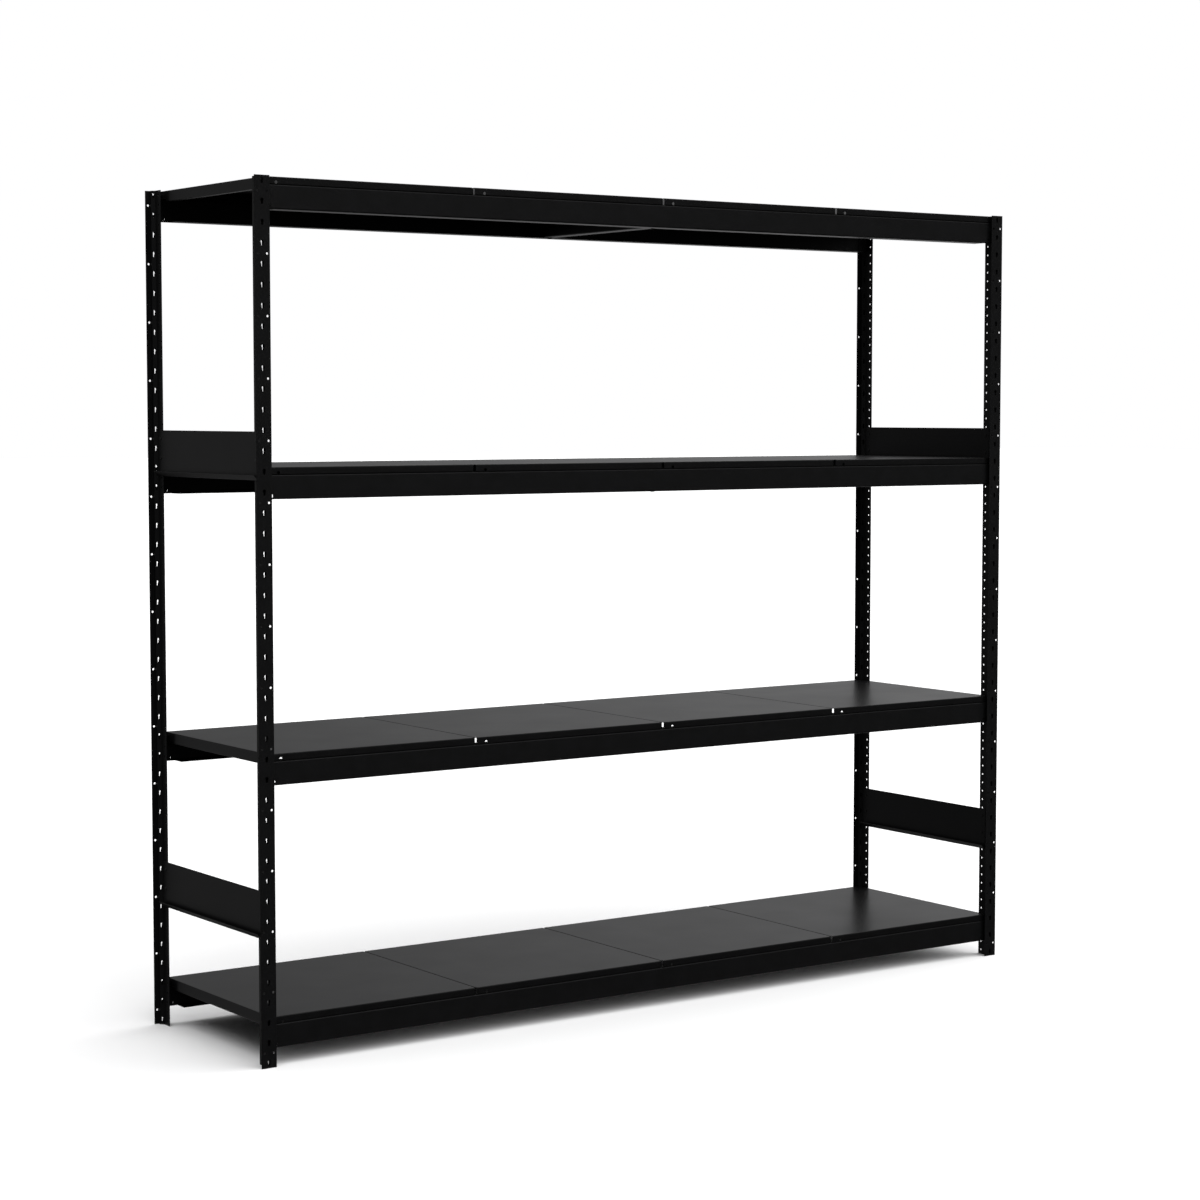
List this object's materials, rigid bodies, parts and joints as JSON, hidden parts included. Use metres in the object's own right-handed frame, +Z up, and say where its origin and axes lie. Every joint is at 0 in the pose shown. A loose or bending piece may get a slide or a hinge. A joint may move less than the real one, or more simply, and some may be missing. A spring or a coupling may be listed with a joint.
{
  "type": "boltless steel shelving",
  "caption": "Freestanding boltless steel shelving with slotted T-posts, hook-in channel beams, lift-off steel deck panels and end braces.",
  "frame": {"origin": "on the floor at the centre of the plan", "axes": "+X along the shelf's width to the right, +Y from front to back, +Z up"},
  "size_m": [2.4808, 0.6096, 2.2098],
  "materials": {
    "post_coat": "satin black powder coat",
    "beam_coat": "satin black powder coat",
    "hook_plate_coat": "satin black powder coat",
    "tie_bar_coat": "satin black powder coat",
    "deck_coat": "satin black powder coat",
    "brace_coat": "satin black powder coat",
    "rivet_coat": "satin black powder coat"
  },
  "bodies": {
    "root": {"beam_bottom_front": "beam_coat", "beam_bottom_rear": "beam_coat", "beam_lower_front": "beam_coat", "beam_lower_rear": "beam_coat", "beam_top_front": "beam_coat", "beam_top_rear": "beam_coat", "beam_upper_front": "beam_coat", "beam_upper_rear": "beam_coat", "brace_rivets_left_lower": "rivet_coat", "brace_rivets_left_upper": "rivet_coat", "brace_rivets_right_lower": "rivet_coat", "brace_rivets_right_upper": "rivet_coat", "hook_plates_bottom_front": "hook_plate_coat", "hook_plates_bottom_rear": "hook_plate_coat", "hook_plates_lower_front": "hook_plate_coat", "hook_plates_lower_rear": "hook_plate_coat", "hook_plates_top_front": "hook_plate_coat", "hook_plates_top_rear": "hook_plate_coat", "hook_plates_upper_front": "hook_plate_coat", "hook_plates_upper_rear": "hook_plate_coat", "post_front_left": "post_coat", "post_front_right": "post_coat", "post_rear_left": "post_coat", "post_rear_right": "post_coat", "side_brace_left_lower": "brace_coat", "side_brace_left_upper": "brace_coat", "side_brace_right_lower": "brace_coat", "side_brace_right_upper": "brace_coat", "tie_bar_bottom": "tie_bar_coat", "tie_bar_lower": "tie_bar_coat", "tie_bar_top": "tie_bar_coat", "tie_bar_upper": "tie_bar_coat"},
    "panel_bottom_1_body": {"deck_panel_bottom_1": "deck_coat"},
    "panel_bottom_2_body": {"deck_panel_bottom_2": "deck_coat"},
    "panel_bottom_3_body": {"deck_panel_bottom_3": "deck_coat"},
    "panel_bottom_4_body": {"deck_panel_bottom_4": "deck_coat"},
    "panel_lower_1_body": {"deck_panel_lower_1": "deck_coat"},
    "panel_lower_2_body": {"deck_panel_lower_2": "deck_coat"},
    "panel_lower_3_body": {"deck_panel_lower_3": "deck_coat"},
    "panel_lower_4_body": {"deck_panel_lower_4": "deck_coat"},
    "panel_top_1_body": {"deck_panel_top_1": "deck_coat"},
    "panel_top_2_body": {"deck_panel_top_2": "deck_coat"},
    "panel_top_3_body": {"deck_panel_top_3": "deck_coat"},
    "panel_top_4_body": {"deck_panel_top_4": "deck_coat"},
    "panel_upper_1_body": {"deck_panel_upper_1": "deck_coat"},
    "panel_upper_2_body": {"deck_panel_upper_2": "deck_coat"},
    "panel_upper_3_body": {"deck_panel_upper_3": "deck_coat"},
    "panel_upper_4_body": {"deck_panel_upper_4": "deck_coat"}
  },
  "joints": [
    {"name": "lift_panel_bottom_1", "type": "slide", "parent": "root", "child": "panel_bottom_1_body", "axis": [0, 0, 1], "range_m": [0, 0.08]},
    {"name": "lift_panel_bottom_2", "type": "slide", "parent": "root", "child": "panel_bottom_2_body", "axis": [0, 0, 1], "range_m": [0, 0.08]},
    {"name": "lift_panel_bottom_3", "type": "slide", "parent": "root", "child": "panel_bottom_3_body", "axis": [0, 0, 1], "range_m": [0, 0.08]},
    {"name": "lift_panel_bottom_4", "type": "slide", "parent": "root", "child": "panel_bottom_4_body", "axis": [0, 0, 1], "range_m": [0, 0.08]},
    {"name": "lift_panel_lower_1", "type": "slide", "parent": "root", "child": "panel_lower_1_body", "axis": [0, 0, 1], "range_m": [0, 0.08]},
    {"name": "lift_panel_lower_2", "type": "slide", "parent": "root", "child": "panel_lower_2_body", "axis": [0, 0, 1], "range_m": [0, 0.08]},
    {"name": "lift_panel_lower_3", "type": "slide", "parent": "root", "child": "panel_lower_3_body", "axis": [0, 0, 1], "range_m": [0, 0.08]},
    {"name": "lift_panel_lower_4", "type": "slide", "parent": "root", "child": "panel_lower_4_body", "axis": [0, 0, 1], "range_m": [0, 0.08]},
    {"name": "lift_panel_top_1", "type": "slide", "parent": "root", "child": "panel_top_1_body", "axis": [0, 0, 1], "range_m": [0, 0.08]},
    {"name": "lift_panel_top_2", "type": "slide", "parent": "root", "child": "panel_top_2_body", "axis": [0, 0, 1], "range_m": [0, 0.08]},
    {"name": "lift_panel_top_3", "type": "slide", "parent": "root", "child": "panel_top_3_body", "axis": [0, 0, 1], "range_m": [0, 0.08]},
    {"name": "lift_panel_top_4", "type": "slide", "parent": "root", "child": "panel_top_4_body", "axis": [0, 0, 1], "range_m": [0, 0.08]},
    {"name": "lift_panel_upper_1", "type": "slide", "parent": "root", "child": "panel_upper_1_body", "axis": [0, 0, 1], "range_m": [0, 0.08]},
    {"name": "lift_panel_upper_2", "type": "slide", "parent": "root", "child": "panel_upper_2_body", "axis": [0, 0, 1], "range_m": [0, 0.08]},
    {"name": "lift_panel_upper_3", "type": "slide", "parent": "root", "child": "panel_upper_3_body", "axis": [0, 0, 1], "range_m": [0, 0.08]},
    {"name": "lift_panel_upper_4", "type": "slide", "parent": "root", "child": "panel_upper_4_body", "axis": [0, 0, 1], "range_m": [0, 0.08]}
  ]
}
